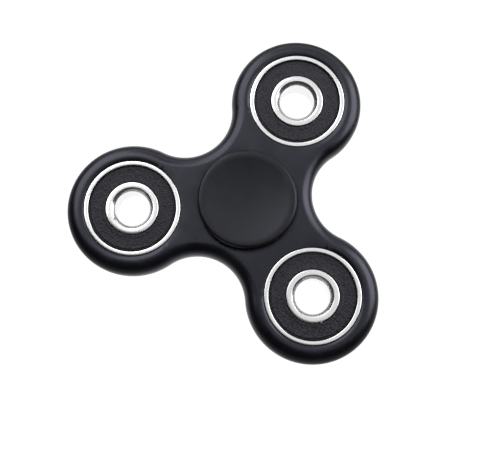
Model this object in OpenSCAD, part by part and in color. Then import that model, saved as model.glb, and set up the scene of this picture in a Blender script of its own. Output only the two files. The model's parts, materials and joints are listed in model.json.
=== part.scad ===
// Three-armed fidget spinner: a moulded body on a ball bearing between two
// finger caps, with three more bearings pressed into its arms as weights.
// Millimetres. The spin axis is Z and the origin is the middle of the centre
// bearing. Arm 1 points along +Y, and the arms go round anticlockwise.

/* [Body] */
// Distance from the spin axis to the middle of an arm's bearing
arm_reach = 26.3; // [26:0.1:30]
// Plastic left round an arm's bearing
lobe_wall = 4.2; // [4:0.1:5.5]
// Radius of the hollow curve between two arms
waist_r = 11; // [8:0.5:14]
// Radius that rounds the body's edges
edge_round = 3; // [1:0.1:3.2]
// Bevel at the mouth of each bearing seat
seat_bevel = 0.2; // [0.1:0.05:0.4]

/* [Bearings] */
// Outside diameter of a bearing
bearing_od = 22; // [21:0.5:23]
// Bore diameter of a bearing
bearing_bore = 8; // [7.5:0.1:8.5]
// Width of a bearing, and thickness of the body
bearing_w = 7; // [7:0.1:8]
// Diameter of a ball
ball_d = 3.97; // [3.8:0.01:4]
// Number of balls in a bearing
ball_count = 7; // [6:1:7]
// Rounding of the rings' outer corners
ring_round = 0.2; // [0.1:0.05:0.4]
// Bevel at the ends of the bore
bore_bevel = 0.8; // [0.3:0.05:1]
// Depth of a seal's face below the rings' faces
seal_sink = 0.2; // [0.1:0.05:0.3]
// Thickness of a seal
seal_t = 0.8; // [0.6:0.05:0.9]

/* [Finger caps] */
// Diameter of a cap
cap_d = 22.6; // [22.2:0.2:24]
// Thickness of a cap at its rim
cap_t = 1.8; // [1.6:0.1:3]
// Depth of the dish for the fingertip
dish_depth = 0.9; // [0.4:0.1:1]
// Width of a cap's rim, from its edge to the dish
rim_w = 1.5; // [1.4:0.1:2.5]
// Gap between a cap and the turning parts below it
cap_gap = 0.5; // [0.3:0.1:1]
// Length of the stem that is pressed into the bore
stem_len = 3.2; // [2:0.1:3.4]

/* [Hidden] */
$fn = 96;

// bearing geometry
half_w = bearing_w/2;
pitch_r = (bearing_od + bearing_bore)/4;  // of the ring of balls
ball_r = ball_d/2;
race_play = 0.015;                        // ball to the bottom of a groove
race_r = 0.52*ball_d;                     // radius of both grooves
race_shift = race_r - ball_r - race_play; // groove's middle from the balls'
inner_land_r = pitch_r - 1.5;             // of the inner ring beside its groove
outer_land_r = pitch_r + 1.45;
corner_break = 0.15;                      // small rounding beside the seals
seat_lip = 1;                             // face of the outer ring outside the seal
seal_seat_r = bearing_od/2 - seat_lip;
snap_depth = 0.2;                         // groove that holds the seal's bead
snap_h = 0.45;
seal_top = half_w - seal_sink;
seal_floor = seal_top - seal_t;
lip_play = 0.05;                          // seal lip to inner ring
edge_play = 0.1;                          // seal edge to outer ring
bead_play = 0.02;
bead_slope = 0.2;                         // sloped share of the bead at each end
seal_bevel = 0.2;
lip_taper = 0.8;                          // width over which the lip thins from below

// cage geometry: two pressed halves that meet at mid width
cage_t = 0.25;
cage_w = 1.5;
pocket_r = ball_r + 0.065;

// body geometry
lobe_r = bearing_od/2 + lobe_wall;
waist_reach = lobe_r + waist_r;
waist_c = arm_reach/2 + sqrt(waist_reach*waist_reach - 3*arm_reach*arm_reach/4);

// cap geometry
cap_r = cap_d/2;
cap_base = half_w + cap_gap;              // underside of the disc
cap_top_z = cap_base + cap_t;
cap_round = 0.7;                          // outer corner of the rim
cap_under_round = 0.35;
rim_round = 0.5;                          // where the rim rolls into the dish
boss_r = inner_land_r - 0.25;             // rests on the inner ring only
stem_core_r = 2.2;
stem_bevel = 0.4;

bearings = ["centre", "arm_1", "arm_2", "arm_3"];

function polar(r, a) = [r*cos(a), r*sin(a)];
function arm_angle(i) = 90 + 120*(i - 1);
// middle of bearing i: 0 is the centre one, 1 to 3 are the arms'
function seat(i) = i == 0 ? [0, 0] : polar(arm_reach, arm_angle(i));

// ---- helpers for sections, where X is the radius and Y is the height

// what lies outside a corner of radius e at the origin, towards +X and +Y
module outside_corner(e) {
  difference() {
    square(e + 1);
    circle(e);
  }
}

module both_faces() {
  children();
  mirror([0, 1]) children();
}

// rectangle from r0 to r1, with its inner corners rounded by e0 and its outer by e1
module ring_section(r0, r1, h, e0, e1) {
  difference() {
    translate([r0, -h/2]) square([r1 - r0, h]);
    both_faces() {
      if (e1 > 0) translate([r1 - e1, h/2 - e1]) outside_corner(e1);
      if (e0 > 0) translate([r0 + e0, h/2 - e0]) mirror([1, 0]) outside_corner(e0);
    }
  }
}

// ---- body

// a full round lobe, which keeps only the wedge outside its neighbours' hollows
module lobe(i) {
  a = arm_angle(i);
  c = seat(i);
  side_1 = polar(waist_c, a + 60);
  side_2 = polar(waist_c, a - 60);
  out = polar(arm_reach + waist_c, a);
  intersection() {
    translate([c[0], c[1], 0]) rotate_extrude() ring_section(0, lobe_r, bearing_w, 0, edge_round);
    translate([0, 0, -bearing_w]) linear_extrude(2*bearing_w)
      polygon([c, side_1, side_1 + out, side_2 + out, side_2]);
  }
}

// cutter that leaves a rounded edge all along a hollow
module waist_cutter() {
  far = waist_r + 2*lobe_r;
  rotate_extrude() difference() {
    translate([0, -bearing_w]) square([far - 1, 2*bearing_w]);
    ring_section(waist_r, far, bearing_w, edge_round, 0);
  }
}

module seat_cutter() {
  mouth = bearing_od/2 + seat_bevel;
  rotate_extrude() {
    translate([0, -bearing_w]) square([bearing_od/2, 2*bearing_w]);
    both_faces() polygon([[0, half_w - seat_bevel], [mouth - seat_bevel, half_w - seat_bevel],
      [mouth + seat_bevel, half_w + seat_bevel], [0, half_w + seat_bevel]]);
  }
}

module body() color("#2c2c30") difference() {
  union() {
    for (i = [1:3]) lobe(i);
    difference() {
      translate([0, 0, -half_w]) linear_extrude(bearing_w)
        polygon([for (k = [0:5]) polar(k % 2 == 0 ? arm_reach : waist_c, 90 + 60*k)]);
      for (i = [1:3]) translate(concat(polar(waist_c, arm_angle(i) + 60), 0)) waist_cutter();
    }
  }
  for (i = [0:3]) translate(concat(seat(i), 0)) seat_cutter();
}

// ---- bearings

module outer_ring() color("#d6d8da") rotate_extrude() difference() {
  ring_section(outer_land_r, bearing_od/2, bearing_w, 0, ring_round);
  translate([pitch_r - race_shift, 0]) circle(race_r);
  both_faces() {
    translate([0, seal_floor]) square([seal_seat_r, bearing_w]);
    translate([0, seal_floor]) square([seal_seat_r + snap_depth, snap_h]);
    translate([seal_seat_r + corner_break, half_w - corner_break]) mirror([1, 0])
      outside_corner(corner_break);
  }
}

module inner_ring() color("#d6d8da") rotate_extrude() difference() {
  bore_r = bearing_bore/2;
  ring_section(bore_r, inner_land_r, bearing_w, 0, corner_break);
  translate([pitch_r + race_shift, 0]) circle(race_r);
  both_faces() translate([bore_r, half_w - bore_bevel])
    polygon([[-1, -1], [bore_bevel + 1, bore_bevel + 1], [-1, bore_bevel + 1]]);
}

// moulded ring with a bead that snaps into the outer ring and a lip that closes on the inner one
module seal() {
  neck_r = seal_seat_r - bead_play;
  bead_r = neck_r + snap_depth;
  edge_r = seal_seat_r - edge_play;
  lip_r = inner_land_r + lip_play;
  snap_top = seal_floor + snap_h;
  color("#38383a") rotate_extrude() polygon([
    [lip_r, seal_floor + seal_t/3], [lip_r, seal_top - seal_bevel], [lip_r + seal_bevel, seal_top],
    [edge_r - seal_bevel, seal_top], [edge_r, seal_top - seal_bevel],
    [edge_r, snap_top], [neck_r, snap_top - bead_play],
    [bead_r, snap_top - bead_slope*snap_h], [bead_r, seal_floor + bead_slope*snap_h],
    [neck_r, seal_floor], [lip_r + lip_taper, seal_floor]]);
}

module ball(k) {
  a = 90 + 360/ball_count*(k - 1);
  color("#e4e6e8") translate(concat(polar(pitch_r, a), 0)) sphere(ball_r);
}

// one pressed half: flat between the balls and domed over each of them
module cage_half() color("#b4a684") difference() {
  intersection() {
    rotate_extrude() translate([pitch_r - cage_w/2, 0]) square([cage_w, half_w]);
    union() {
      cylinder(r = pitch_r + cage_w, h = cage_t);
      for (k = [1:ball_count]) rotate(90 + 360/ball_count*(k - 1)) translate([pitch_r, 0, 0])
        sphere(pocket_r + cage_t);
    }
  }
  for (k = [1:ball_count]) rotate(90 + 360/ball_count*(k - 1)) translate([pitch_r, 0, 0])
    sphere(pocket_r);
}

// ---- finger caps

// circle that cuts the dish, and the small circle that rolls the rim into it
dish_edge = cap_r - rim_w;
dish_r = (dish_edge*dish_edge + dish_depth*dish_depth)/(2*dish_depth);
dish_c = cap_top_z - dish_depth + dish_r;
roll_z = cap_top_z - rim_round;
roll_x = sqrt(pow(dish_r + rim_round, 2) - pow(dish_c - roll_z, 2));
touch = [0, dish_c] + dish_r/(dish_r + rim_round)*[roll_x, roll_z - dish_c];

module cap_section() {
  difference() {
    translate([0, cap_base]) square([cap_r, cap_t]);
    translate([cap_r - cap_round, cap_top_z - cap_round]) outside_corner(cap_round);
    translate([cap_r - cap_under_round, cap_base + cap_under_round]) mirror([0, 1])
      outside_corner(cap_under_round);
    intersection() {
      translate([0, dish_c]) circle(dish_r, $fn = 720);
      translate([0, cap_base]) square([touch[0], cap_t + 1]);
    }
    difference() {
      translate([touch[0], touch[1]]) square([roll_x - touch[0], cap_t]);
      translate([roll_x, roll_z]) circle(rim_round);
    }
  }
}

module cap_upper() color("#242427") {
  rotate_extrude() cap_section();
  rotate_extrude() translate([stem_core_r, half_w]) square([boss_r - stem_core_r, cap_gap]);
  rotate_extrude() polygon([[stem_core_r, half_w], [bearing_bore/2, half_w],
    [bearing_bore/2, half_w - stem_len + stem_bevel],
    [bearing_bore/2 - stem_bevel, half_w - stem_len], [stem_core_r, half_w - stem_len]]);
}

// ---- nodes

body();
cap_upper();  // cap_top
mirror([0, 0, 1]) cap_upper();  // cap_bottom
for (i = [0:3]) translate(concat(seat(i), 0)) {
  name = bearings[i];
  outer_ring();
  inner_ring();
  cage_half();
  mirror([0, 0, 1]) cage_half();
  seal();
  mirror([0, 0, 1]) seal();
  for (k = [1:ball_count]) ball(k);
}
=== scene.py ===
import bpy
import bmesh
import json
import math
from mathutils import Matrix, Vector


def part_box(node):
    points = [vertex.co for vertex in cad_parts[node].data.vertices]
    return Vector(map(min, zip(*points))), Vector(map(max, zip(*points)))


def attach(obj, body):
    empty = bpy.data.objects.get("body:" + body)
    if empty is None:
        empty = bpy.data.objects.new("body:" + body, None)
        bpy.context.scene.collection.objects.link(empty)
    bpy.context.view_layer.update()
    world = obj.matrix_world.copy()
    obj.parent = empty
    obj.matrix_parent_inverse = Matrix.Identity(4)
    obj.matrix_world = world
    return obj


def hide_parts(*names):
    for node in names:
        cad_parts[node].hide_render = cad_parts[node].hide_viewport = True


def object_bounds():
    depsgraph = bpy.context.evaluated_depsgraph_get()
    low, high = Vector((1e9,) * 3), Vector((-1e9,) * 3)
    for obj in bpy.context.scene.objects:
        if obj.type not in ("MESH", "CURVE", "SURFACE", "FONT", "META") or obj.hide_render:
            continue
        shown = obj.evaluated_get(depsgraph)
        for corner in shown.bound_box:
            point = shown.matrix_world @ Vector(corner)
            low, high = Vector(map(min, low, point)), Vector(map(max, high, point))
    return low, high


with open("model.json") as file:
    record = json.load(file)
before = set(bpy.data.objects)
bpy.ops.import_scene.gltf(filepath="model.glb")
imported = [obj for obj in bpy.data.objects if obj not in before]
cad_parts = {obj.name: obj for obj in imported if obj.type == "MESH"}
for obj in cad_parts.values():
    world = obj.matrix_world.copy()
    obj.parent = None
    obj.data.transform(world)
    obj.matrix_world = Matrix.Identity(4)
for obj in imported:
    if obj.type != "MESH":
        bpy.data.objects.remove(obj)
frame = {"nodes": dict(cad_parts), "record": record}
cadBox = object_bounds()
mm = 0.001
sharpest = 1e-6  # how near two measures are taken as the same, in metres
mergeGap = 0.0002 * mm  # points closer than this become one
faceWeight = 80  # how far wide faces set the shading of the narrow ones beside them
flatBevel = 1  # a bevel of one segment is a plain slope


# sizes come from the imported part, so the pieces follow it
def middleOf(node):
    low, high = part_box(node)
    return (low + high) / 2


def radiusOf(node):
    low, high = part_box(node)
    return (high.x - low.x) / 2


bearings = ["centre", "arm_1", "arm_2", "arm_3"]
seats = {name: middleOf(name + "_outer_ring") for name in bearings}
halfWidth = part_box("body")[1].z
armReach = seats["arm_1"].y
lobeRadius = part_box("body")[1].y - armReach
seatRadius = radiusOf("centre_outer_ring")
landRadius = radiusOf("centre_inner_ring")
beadRadius = radiusOf("centre_seal_upper")
sealLow, sealHigh = (corner.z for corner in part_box("centre_seal_upper"))
ballRadius = radiusOf("centre_ball_1")
ballRing = middleOf("centre_ball_1").y
capRadius = radiusOf("cap_top")
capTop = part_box("cap_top")[1].z
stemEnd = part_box("cap_top")[0].z
boreRadius = 4 * mm


def polar(radius, degrees):
    a = math.radians(degrees)
    return Vector((radius * math.cos(a), radius * math.sin(a), 0))


def sweep(bm, vert, centre, axis, degrees, steps):
    # draws an arc from one vertex, and gives back the vertex at its end
    made = bmesh.ops.spin(bm, geom=[vert], cent=centre, axis=axis, angle=math.radians(degrees),
                          steps=steps, use_merge=False)
    return next(g for g in made["geom_last"] if isinstance(g, bmesh.types.BMVert))


def finishPiece(bm, name, node, material):
    bmesh.ops.remove_doubles(bm, verts=bm.verts, dist=mergeGap)
    bmesh.ops.recalc_face_normals(bm, faces=bm.faces)
    mesh = bpy.data.meshes.new(name)
    bm.to_mesh(mesh)
    bm.free()
    mesh.shade_smooth()
    mesh.materials.append(material)
    piece = bpy.data.objects.new(name, mesh)
    bpy.context.scene.collection.objects.link(piece)
    even = piece.modifiers.new("even normals", "WEIGHTED_NORMAL")
    even.mode = "FACE_AREA"
    even.weight = faceWeight
    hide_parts(node)
    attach(piece, bodyOf[node])
    return piece


bodyOf = {node: body for body, nodes in frame["record"]["behaviour"]["bodies"].items() for node in nodes}


def roundEdges(bm, edges, width, segments):
    bmesh.ops.bevel(bm, geom=edges, offset=width, offset_type="OFFSET", affect="EDGES",
                    segments=segments, profile=0.5, material=-1, clamp_overlap=True)


def loopsAt(bm, corners):
    # the edge loops that lie at these (radius, height) corners of a turned piece
    found = []
    for edge in bm.edges:
        spots = [(math.hypot(v.co.x, v.co.y), v.co.z) for v in edge.verts]
        for r, z in corners:
            if all(abs(a - r) < sharpest and abs(b - z) < sharpest for a, b in spots):
                found.append(edge)
    return found


class Outline:
    # a section drawn point by point in metres, as radius and height, ready to be spun
    def __init__(self, r, z):
        self.bm = bmesh.new()
        self.first = self.last = self.bm.verts.new((r, 0, z))

    def to(self, r, z):
        vert = self.bm.verts.new((r, 0, z))
        self.bm.edges.new((self.last, vert))
        self.last = vert
        return self

    def arc(self, r, z, degrees, steps):
        self.last = sweep(self.bm, self.last, (r, 0, z), (0, 1, 0), degrees, steps)
        return self

    def close(self):
        self.bm.edges.new((self.last, self.first))
        return self


def turnOutline(outline, centre, rounds, steps, flip=False):
    # spins the section, rounds its corners, and stores each point's radius and height for the materials
    bm = outline.bm
    bmesh.ops.spin(bm, geom=bm.verts[:] + bm.edges[:], cent=(0, 0, 0), axis=(0, 0, 1),
                   angle=math.tau, steps=steps, use_merge=True)
    for width, segments, corners in rounds:
        roundEdges(bm, loopsAt(bm, corners), width, segments)
    lathe = bm.verts.layers.float_vector.new("lathe")
    for v in bm.verts:
        v[lathe] = (math.hypot(v.co.x, v.co.y), v.co.z, 0)
    if flip:
        bmesh.ops.scale(bm, verts=bm.verts, vec=(1, 1, -1))
    bmesh.ops.translate(bm, verts=bm.verts, vec=centre)
    return bm


def newMaterial(name):
    mat = bpy.data.materials.new(name)
    mat.use_nodes = True
    return mat, mat.node_tree, mat.node_tree.nodes["Principled BSDF"]


def addNode(tree, kind, **inputs):
    node = tree.nodes.new(kind)
    for key, value in inputs.items():
        node.inputs[key.replace("_", " ")].default_value = value
    return node


def noise(tree, vector, scale, detail=3.0, roughness=0.55):
    node = addNode(tree, "ShaderNodeTexNoise", Scale=scale, Detail=detail, Roughness=roughness)
    tree.links.new(vector, node.inputs["Vector"])
    return node.outputs["Fac"]


def blendColours(tree, fac, low, high, dark, pale):
    node = tree.nodes.new("ShaderNodeValToRGB")
    for element, place, colour in zip(node.color_ramp.elements, (low, high), (dark, pale)):
        element.position = place
        element.color = (*colour, 1)
    tree.links.new(fac, node.inputs["Fac"])
    return node.outputs["Color"]


def span(tree, fac, low, high, start, end):
    node = addNode(tree, "ShaderNodeMapRange", From_Min=low, From_Max=high, To_Min=start, To_Max=end)
    tree.links.new(fac, node.inputs["Value"])
    return node.outputs["Result"]


def bump(tree, height, strength, depth, under=None):
    node = addNode(tree, "ShaderNodeBump", Strength=strength, Distance=depth)
    tree.links.new(height, node.inputs["Height"])
    if under is not None:
        tree.links.new(under, node.inputs["Normal"])
    return node.outputs["Normal"]


def objectCoords(tree):
    return tree.nodes.new("ShaderNodeTexCoord").outputs["Object"]


def stretched(tree, vector, turn, scale):
    node = addNode(tree, "ShaderNodeMapping", Rotation=turn, Scale=scale)
    tree.links.new(vector, node.inputs["Vector"])
    return node.outputs["Vector"]


def latheCoords(tree):
    node = tree.nodes.new("ShaderNodeAttribute")
    node.attribute_name = "lathe"
    return node.outputs["Vector"]


mouldedFinish = {"ior": 1.5, "cloudSpan": (0.35, 0.7), "shineSpan": (0.3, 0.7), "fineDetail": 2.0,
                 "grainStrength": 0.5, "scratchStrength": 0.3, "scratchTurn": (0, 0, 0.7),
                 "scratchScale": (300, 9000, 300)}
bodyLook = {**mouldedFinish, "dark": (0.0018, 0.0018, 0.0026), "pale": (0.0036, 0.0037, 0.0050),
            "clouds": 220.0, "gloss": 0.49, "tint": (0.80, 0.82, 1.0), "shine": (0.26, 0.36),
            "grain": 6500.0, "grainDepth": 0.000008, "scratchDepth": 0.000003}
capLook = {**mouldedFinish, "dark": (0.0016, 0.0016, 0.0020), "pale": (0.0032, 0.0032, 0.0040),
           "clouds": 300.0, "gloss": 0.36, "tint": (0.84, 0.86, 1.0), "shine": (0.36, 0.46),
           "grain": 7500.0, "grainDepth": 0.00001, "scratchDepth": 0.000004}


def mouldedPlastic(name, look):
    mat, tree, shader = newMaterial(name)
    where = objectCoords(tree)
    clouds = noise(tree, where, look["clouds"])
    grain = noise(tree, where, look["grain"], look["fineDetail"])
    drawn = stretched(tree, where, look["scratchTurn"], look["scratchScale"])
    scratches = noise(tree, drawn, 1.0, look["fineDetail"])
    colour = blendColours(tree, clouds, *look["cloudSpan"], look["dark"], look["pale"])
    tree.links.new(colour, shader.inputs["Base Color"])
    shine = span(tree, clouds, *look["shineSpan"], *look["shine"])
    tree.links.new(shine, shader.inputs["Roughness"])
    fine = bump(tree, grain, look["grainStrength"], look["grainDepth"])
    worn = bump(tree, scratches, look["scratchStrength"], look["scratchDepth"], fine)
    tree.links.new(worn, shader.inputs["Normal"])
    shader.inputs["IOR"].default_value = look["ior"]
    shader.inputs["Specular IOR Level"].default_value = look["gloss"]
    shader.inputs["Specular Tint"].default_value = (*look["tint"], 1)
    return mat


ringLook = {"colour": (0.86, 0.86, 0.87), "dull": (0.82, 0.82, 0.83), "shine": (0.14, 0.23),
            "clouds": 1500.0, "cloudSpan": (0.3, 0.6), "lines": 26000.0, "lineSpan": (0.3, 0.7),
            "lineDetail": 3.0, "lineStrength": 0.4, "lineDepth": 0.0000008}
ballLook = {**ringLook, "shine": (0.04, 0.09), "lines": 900.0}
cageLook = {**ringLook, "colour": (0.55, 0.53, 0.5), "dull": (0.42, 0.41, 0.39), "shine": (0.3, 0.45),
            "lines": 5000.0}


def groundSteel(name, look, turned=True):
    # on a turned piece the fine lines run round it
    mat, tree, shader = newMaterial(name)
    clouds = noise(tree, objectCoords(tree), look["clouds"])
    where = latheCoords(tree) if turned else objectCoords(tree)
    lines = noise(tree, where, look["lines"], look["lineDetail"])
    colour = blendColours(tree, clouds, *look["cloudSpan"], look["dull"], look["colour"])
    tree.links.new(colour, shader.inputs["Base Color"])
    tree.links.new(span(tree, lines, *look["lineSpan"], *look["shine"]), shader.inputs["Roughness"])
    tree.links.new(bump(tree, lines, look["lineStrength"], look["lineDepth"]), shader.inputs["Normal"])
    shader.inputs["Metallic"].default_value = 1.0
    return mat


rubberLook = {"dark": (0.0004, 0.0004, 0.0006), "pale": (0.016, 0.016, 0.018), "tint": (0.86, 0.87, 1.0),
              "shine": (0.4, 0.6), "gloss": 0.34, "pebble": 2300.0, "pebbleDetail": 2.0,
              "pebbleSpan": (0.35, 0.65), "shineSpan": (0.3, 0.7), "pebbleStrength": 0.8,
              "pebbleDepth": 0.0003}


def sealRubber(name, look):
    mat, tree, shader = newMaterial(name)
    pebble = noise(tree, objectCoords(tree), look["pebble"], look["pebbleDetail"])
    colour = blendColours(tree, pebble, *look["pebbleSpan"], look["dark"], look["pale"])
    tree.links.new(colour, shader.inputs["Base Color"])
    tree.links.new(span(tree, pebble, *look["shineSpan"], *look["shine"]), shader.inputs["Roughness"])
    tree.links.new(bump(tree, pebble, look["pebbleStrength"], look["pebbleDepth"]), shader.inputs["Normal"])
    shader.inputs["Specular IOR Level"].default_value = look["gloss"]
    shader.inputs["Specular Tint"].default_value = (*look["tint"], 1)
    return mat


bodyPlastic = mouldedPlastic("body plastic", bodyLook)
capPlastic = mouldedPlastic("cap plastic", capLook)
ringSteel = groundSteel("ring steel", ringLook)
ballSteel = groundSteel("ball steel", ballLook, turned=False)
cageSteel = groundSteel("cage steel", cageLook, turned=False)
sealBlack = sealRubber("seal rubber", rubberLook)
print("materials made")


bodyShape = {"waistRadius": 11 * mm, "edgeRound": 3 * mm, "edgeSegments": 14, "degreesPerStep": 2.5,
             "mouthBevel": 0.2 * mm, "seatSteps": 144, "seamHalf": 0.06 * mm, "seamProud": 0.03 * mm}


def bodyOutline(bm, shape):
    # three round lobes joined by three hollows, all arcs that meet smoothly
    waist = shape["waistRadius"]
    reach = lobeRadius + waist
    halfGapSquared = 0.75 * armReach ** 2  # from half the distance between two lobes' middles
    waistMiddle = armReach / 2 + math.sqrt(reach ** 2 - halfGapSquared)
    lobe, hollow = polar(armReach, 90), polar(waistMiddle, 30)
    lean = math.degrees(math.atan2(lobe.y - hollow.y, hollow.x - lobe.x))
    start = lobe + (hollow - lobe) * lobeRadius / reach
    vert = bm.verts.new(start)
    for turned in (0, 120, 240):
        for middle, degrees in ((polar(armReach, 90 + turned), 180 + 2 * lean),
                                (polar(waistMiddle, 150 + turned), -60 - 2 * lean)):
            steps = round(abs(degrees) / shape["degreesPerStep"])
            vert = sweep(bm, vert, middle, (0, 0, 1), degrees, steps)
    bmesh.ops.remove_doubles(bm, verts=bm.verts, dist=sharpest)


def seatRing(bm, centre, radius, z, steps):
    made = bmesh.ops.create_circle(bm, cap_ends=False, radius=radius, segments=steps,
                                   matrix=Matrix.Translation((centre.x, centre.y, z)))
    return list({e for v in made["verts"] for e in v.link_edges})


def makeBody(shape):
    bm = bmesh.new()
    bodyOutline(bm, shape)
    bmesh.ops.translate(bm, verts=bm.verts, vec=(0, 0, -halfWidth))
    lid = bmesh.ops.contextual_create(bm, geom=bm.edges[:])["faces"]
    raised = bmesh.ops.extrude_face_region(bm, geom=lid)["geom"]
    tops = [g for g in raised if isinstance(g, bmesh.types.BMVert)]
    bmesh.ops.translate(bm, verts=tops, vec=(0, 0, 2 * halfWidth))
    rims = [e for e in bm.edges if abs(e.verts[0].co.z - e.verts[1].co.z) < sharpest]
    roundEdges(bm, rims, shape["edgeRound"], shape["edgeSegments"])

    # the mould's parting line, a fine ridge round the middle of the edge
    for z in (-shape["seamHalf"], 0, shape["seamHalf"]):
        bmesh.ops.bisect_plane(bm, geom=bm.verts[:] + bm.edges[:] + bm.faces[:], dist=sharpest / 10,
                               plane_co=(0, 0, z), plane_no=(0, 0, 1))
    bm.normal_update()
    for v in bm.verts:
        if abs(v.co.z) < sharpest:
            v.co += v.normal * shape["seamProud"]

    # open both flats and cut the four bearing seats through them
    flats = [f for f in bm.faces if len(f.verts) > 4]
    bmesh.ops.delete(bm, geom=flats, context="FACES_ONLY")
    mouth = seatRadius + shape["mouthBevel"]
    mouths = {}
    for z in (-halfWidth, halfWidth):
        edges = [e for e in bm.edges if e.is_boundary and abs(e.verts[0].co.z - z) < sharpest]
        for name, centre in seats.items():
            mouths[name, z] = seatRing(bm, centre, mouth, z, shape["seatSteps"])
            edges += mouths[name, z]
        bmesh.ops.triangle_fill(bm, use_beauty=True, use_dissolve=False, edges=edges,
                                normal=(0, 0, math.copysign(1, z)))
    inner = halfWidth - shape["mouthBevel"]
    for name, centre in seats.items():
        rings = [mouths[name, halfWidth], seatRing(bm, centre, seatRadius, inner, shape["seatSteps"]),
                 seatRing(bm, centre, seatRadius, -inner, shape["seatSteps"]), mouths[name, -halfWidth]]
        for above, below in zip(rings, rings[1:]):
            bmesh.ops.bridge_loops(bm, edges=above + below)
    return finishPiece(bm, "moulded_body", "body", bodyPlastic)


makeBody(bodyShape)
print("body made")


capShape = {"thick": 1.8 * mm, "dish": 0.9 * mm, "rim": 1.5 * mm, "bossInset": 0.25 * mm,
            "stemCore": 2.2 * mm, "outerRound": 0.7 * mm, "outerSegments": 6, "underRound": 0.35 * mm,
            "underSegments": 4, "dishRound": 0.5 * mm, "dishSegments": 5, "stemBevel": 0.4 * mm,
            "dishSteps": 24, "steps": 192}


def makeCap(name, node, shape, flip):
    base = capTop - shape["thick"]
    edge = capRadius - shape["rim"]
    dishRadius = (edge ** 2 + shape["dish"] ** 2) / (2 * shape["dish"])
    dishBottom = capTop - shape["dish"]
    half = math.degrees(math.asin(edge / dishRadius))
    boss = landRadius - shape["bossInset"]
    core = shape["stemCore"]
    outline = Outline(0, dishBottom).arc(0, dishBottom + dishRadius, -half, shape["dishSteps"])
    outline.to(capRadius, capTop).to(capRadius, base).to(boss, base).to(boss, halfWidth)
    outline.to(boreRadius, halfWidth).to(boreRadius, stemEnd).to(core, stemEnd).to(core, base).to(0, base)
    rounds = [(shape["outerRound"], shape["outerSegments"], [(capRadius, capTop)]),
              (shape["underRound"], shape["underSegments"], [(capRadius, base)]),
              (shape["dishRound"], shape["dishSegments"], [(edge, capTop)]),
              (shape["stemBevel"], flatBevel, [(boreRadius, stemEnd)])]
    bm = turnOutline(outline, (0, 0, 0), rounds, shape["steps"], flip)
    return finishPiece(bm, name, node, capPlastic)


makeCap("upper_cap", "cap_top", capShape, False)
makeCap("lower_cap", "cap_bottom", capShape, True)
print("caps made")


ringShape = {"face": 1.0 * mm, "snap": 0.2 * mm, "snapHeight": 0.45 * mm, "shoulder": 1.45 * mm,
             "racePlay": 0.015 * mm, "raceFit": 0.52, "raceSteps": 12, "odRound": 0.2 * mm, "odSegments": 4,
             "boreBevel": 0.8 * mm, "bevelBreak": 0.05 * mm, "bevelSegments": 2, "sideBreak": 0.15 * mm,
             "sideSegments": 3, "steps": 192}
sealShape = {"edgeGap": 0.1 * mm, "lipGap": 0.05 * mm, "beadGap": 0.02 * mm, "beadSlope": 0.2,
             "bevel": 0.2 * mm, "bevelRound": 0.08 * mm, "bevelSegments": 3, "lipTaper": 0.8 * mm,
             "lipShare": 3, "rimWidth": 0.42 * mm, "rimDepth": 0.25 * mm, "stepIn": 0.9 * mm,
             "stepDepth": 0.05 * mm, "slope": 0.1 * mm, "steps": 160}


def raceOf(shape):
    # radius of the ball grooves, and how far their middles stand off the ring of balls
    groove = 2 * ballRadius * shape["raceFit"]
    return groove, groove - ballRadius - shape["racePlay"]


def makeOuterRing(name, shape):
    groove, offset = raceOf(shape)
    land = ballRing + shape["shoulder"]
    middle = ballRing - offset
    half = math.degrees(math.acos((land - middle) / groove))
    lip = groove * math.sin(math.radians(half))
    seat = seatRadius - shape["face"]
    snap, snapTop = seat + shape["snap"], sealLow + shape["snapHeight"]
    outline = Outline(seatRadius, -halfWidth).to(seatRadius, halfWidth).to(seat, halfWidth)
    outline.to(seat, snapTop).to(snap, snapTop).to(snap, sealLow).to(land, sealLow).to(land, lip)
    outline.arc(middle, 0, 2 * half, shape["raceSteps"])
    outline.to(land, -sealLow).to(snap, -sealLow).to(snap, -snapTop).to(seat, -snapTop).to(seat, -halfWidth)
    outline.close()
    rounds = [(shape["odRound"], shape["odSegments"], [(seatRadius, halfWidth), (seatRadius, -halfWidth)]),
              (shape["sideBreak"], shape["sideSegments"], [(seat, halfWidth), (seat, -halfWidth)])]
    bm = turnOutline(outline, seats[name], rounds, shape["steps"])
    return finishPiece(bm, name + "_race_outer", name + "_outer_ring", ringSteel)


def makeInnerRing(name, shape):
    groove, offset = raceOf(shape)
    middle = ballRing + offset
    half = math.degrees(math.acos((middle - landRadius) / groove))
    lip = groove * math.sin(math.radians(half))
    outline = Outline(boreRadius, halfWidth).to(boreRadius, -halfWidth).to(landRadius, -halfWidth)
    outline.to(landRadius, -lip).arc(middle, 0, 2 * half, shape["raceSteps"]).to(landRadius, halfWidth)
    outline.close()
    bevel = shape["boreBevel"]
    bevelEdges = [(r, side * z) for side in (1, -1)
                  for r, z in ((boreRadius + bevel, halfWidth), (boreRadius, halfWidth - bevel))]
    rounds = [(bevel, flatBevel, [(boreRadius, halfWidth), (boreRadius, -halfWidth)]),
              (shape["bevelBreak"], shape["bevelSegments"], bevelEdges),
              (shape["sideBreak"], shape["sideSegments"],
               [(landRadius, halfWidth), (landRadius, -halfWidth)])]
    bm = turnOutline(outline, seats[name], rounds, shape["steps"])
    return finishPiece(bm, name + "_race_inner", name + "_inner_ring", ringSteel)


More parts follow.
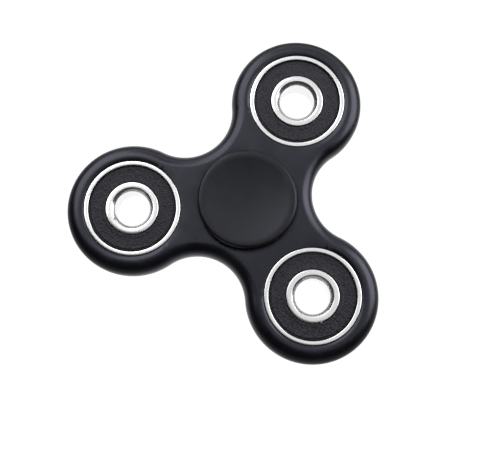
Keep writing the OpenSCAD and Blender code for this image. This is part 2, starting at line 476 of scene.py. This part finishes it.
def makeSeal(name, side, shape, ring):
    seat = seatRadius - ring["face"]
    neck = seat - shape["beadGap"]
    edge = seat - shape["edgeGap"]
    lip = landRadius + shape["lipGap"]
    bevel, step, slope = shape["bevel"], shape["stepIn"], shape["slope"]
    sunk, rim = sealHigh - shape["stepDepth"], sealHigh - shape["rimDepth"]
    shoulder = edge - shape["rimWidth"]
    snapTop = sealLow + ring["snapHeight"]
    rise = shape["beadSlope"] * ring["snapHeight"]
    lipFoot = sealLow + (sealHigh - sealLow) / shape["lipShare"]
    outline = Outline(lip, lipFoot).to(lip, sealHigh - bevel).to(lip + bevel, sealHigh)
    outline.to(lip + step, sealHigh).to(lip + step + slope, sunk)
    outline.to(edge - step - slope, sunk).to(edge - step, sealHigh).to(shoulder - slope, sealHigh)
    outline.to(shoulder, rim).to(edge, rim).to(edge, snapTop)
    outline.to(neck, snapTop - shape["beadGap"]).to(beadRadius, snapTop - rise)
    outline.to(beadRadius, sealLow + rise).to(neck, sealLow).to(lip + shape["lipTaper"], sealLow)
    outline.close()
    corners = [(lip + bevel, sealHigh), (lip, sealHigh - bevel),
               (shoulder - slope, sealHigh), (shoulder, rim)]
    rounds = [(shape["bevelRound"], shape["bevelSegments"], corners)]
    bm = turnOutline(outline, seats[name], rounds, shape["steps"], side == "lower")
    return finishPiece(bm, f"{name}_{side}_dust_seal", f"{name}_seal_{side}", sealBlack)


for name in bearings:
    makeOuterRing(name, ringShape)
    makeInnerRing(name, ringShape)
    for side in ("upper", "lower"):
        makeSeal(name, side, sealShape, ringShape)
print("bearings made")

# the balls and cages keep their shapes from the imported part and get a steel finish
for name, node in frame["nodes"].items():
    if "ball" in name or "cage" in name:
        node.data.materials.clear()
        node.data.materials.append(ballSteel if "ball" in name else cageSteel)


view = {"place": (0.01399, -0.03205, 0.17767), "turn": (8.649, -0.403, 26.094), "lens": 56.98, "sensor": 36,
        "nearest": 0.01}
# side: angle round the view, 0 to the right and 90 up; lean: angle away from the view, in degrees
softboxes = {
    "right": {"side": 22, "lean": 62, "distance": 0.6, "size": (0.52, 0.5), "bright": 4.1},
    "left": {"side": 128, "lean": 50, "distance": 0.6, "size": (0.5, 0.5), "bright": 3.3},
    "overhead": {"side": 60, "lean": 33, "distance": 0.8, "size": (0.9, 0.9), "bright": 0.78},
    "back": {"side": 90, "lean": 80, "distance": 0.75, "size": (0.4, 1.2), "bright": 1.15},
    "front": {"side": 262, "lean": 80, "distance": 0.75, "size": (0.3, 1.5), "bright": 0.3},
}
floorLook = {"halfSide": 1.5, "pale": 0.8, "roughness": 0.9, "seen": 1.05, "edge": 0.3, "from": 34 * mm,
             "to": 60 * mm}
roomLook = {"light": 0.04, "seen": 1.05}


def makeCamera(look):
    camera = bpy.data.objects.new("camera", bpy.data.cameras.new("camera"))
    camera.data.sensor_width = look["sensor"]
    camera.data.lens = look["lens"]
    camera.data.clip_start = look["nearest"]
    camera.location = look["place"]
    camera.rotation_euler = [math.radians(a) for a in look["turn"]]
    bpy.context.scene.collection.objects.link(camera)
    bpy.context.scene.camera = camera
    return camera


def makeSoftbox(name, box, turn):
    side, lean = math.radians(box["side"]), math.radians(box["lean"])
    across = turn.col[0] * math.cos(side) + turn.col[1] * math.sin(side)
    away = turn.col[2] * math.cos(lean) + across * math.sin(lean)
    light = bpy.data.lights.new(name, "AREA")
    light.shape = "RECTANGLE"
    light.size, light.size_y = box["size"]
    light.energy = box["bright"] * math.pi * light.size * light.size_y
    lamp = bpy.data.objects.new(name, light)
    # the box's short side lies along the line from the view's middle, and it faces the part
    along = across.cross(away).normalized()
    short = along.cross(away).normalized()
    lamp.matrix_world = Matrix((short, along, away)).transposed().to_4x4()
    lamp.location = away * box["distance"]
    bpy.context.scene.collection.objects.link(lamp)


def makeFloor(look):
    bm = bmesh.new()
    bmesh.ops.create_grid(bm, x_segments=1, y_segments=1, size=look["halfSide"])
    bmesh.ops.translate(bm, verts=bm.verts, vec=(0, 0, cadBox[0].z))
    mesh = bpy.data.meshes.new("floor")
    bm.to_mesh(mesh)
    bm.free()
    floor = bpy.data.objects.new("floor", mesh)
    bpy.context.scene.collection.objects.link(floor)
    mat, tree, shader = newMaterial("pale floor")
    shader.inputs["Base Color"].default_value = (look["pale"],) * 3 + (1,)
    shader.inputs["Roughness"].default_value = look["roughness"]
    # plain white to the eye, and in reflections a glowing white patch under the part that fades outwards: a
    # painted pool of light that only reflections see
    rays = tree.nodes.new("ShaderNodeLightPath")
    reach = tree.nodes.new("ShaderNodeVectorMath")
    reach.operation = "LENGTH"
    tree.links.new(objectCoords(tree), reach.inputs[0])
    # painted glow: the floor's emission, seen only in reflections, is strongest under the part and fades
    # outwards
    patch = span(tree, reach.outputs["Value"], look["from"], look["to"], look["seen"], look["edge"])
    mirrored = addNode(tree, "ShaderNodeEmission")
    tree.links.new(patch, mirrored.inputs["Strength"])
    seen = addNode(tree, "ShaderNodeEmission", Strength=look["seen"])
    surface = shader.outputs[0]
    for kind, glow in (("Is Glossy Ray", mirrored), ("Is Camera Ray", seen)):
        both = tree.nodes.new("ShaderNodeMixShader")
        tree.links.new(rays.outputs[kind], both.inputs[0])
        tree.links.new(surface, both.inputs[1])
        tree.links.new(glow.outputs[0], both.inputs[2])
        surface = both.outputs[0]
    tree.links.new(surface, tree.nodes["Material Output"].inputs["Surface"])
    mesh.materials.append(mat)


def makeRoom(look):
    # dim all round, and plain white where it is seen straight on
    world = bpy.data.worlds.new("studio")
    world.use_nodes = True
    tree = world.node_tree
    dim = tree.nodes["Background"]
    dim.inputs["Color"].default_value = (1, 1, 1, 1)
    dim.inputs["Strength"].default_value = look["light"]
    white = addNode(tree, "ShaderNodeBackground", Color=(1, 1, 1, 1), Strength=look["seen"])
    both = tree.nodes.new("ShaderNodeMixShader")
    tree.links.new(tree.nodes.new("ShaderNodeLightPath").outputs["Is Camera Ray"], both.inputs[0])
    tree.links.new(dim.outputs[0], both.inputs[1])
    tree.links.new(white.outputs[0], both.inputs[2])
    tree.links.new(both.outputs[0], tree.nodes["World Output"].inputs["Surface"])
    bpy.context.scene.world = world


camera = makeCamera(view)
turn = camera.rotation_euler.to_matrix()
for name, box in softboxes.items():
    makeSoftbox(name, box, turn)
makeFloor(floorLook)
makeRoom(roomLook)
bpy.context.scene.view_settings.view_transform = "Standard"
print("camera, lights and floor made")
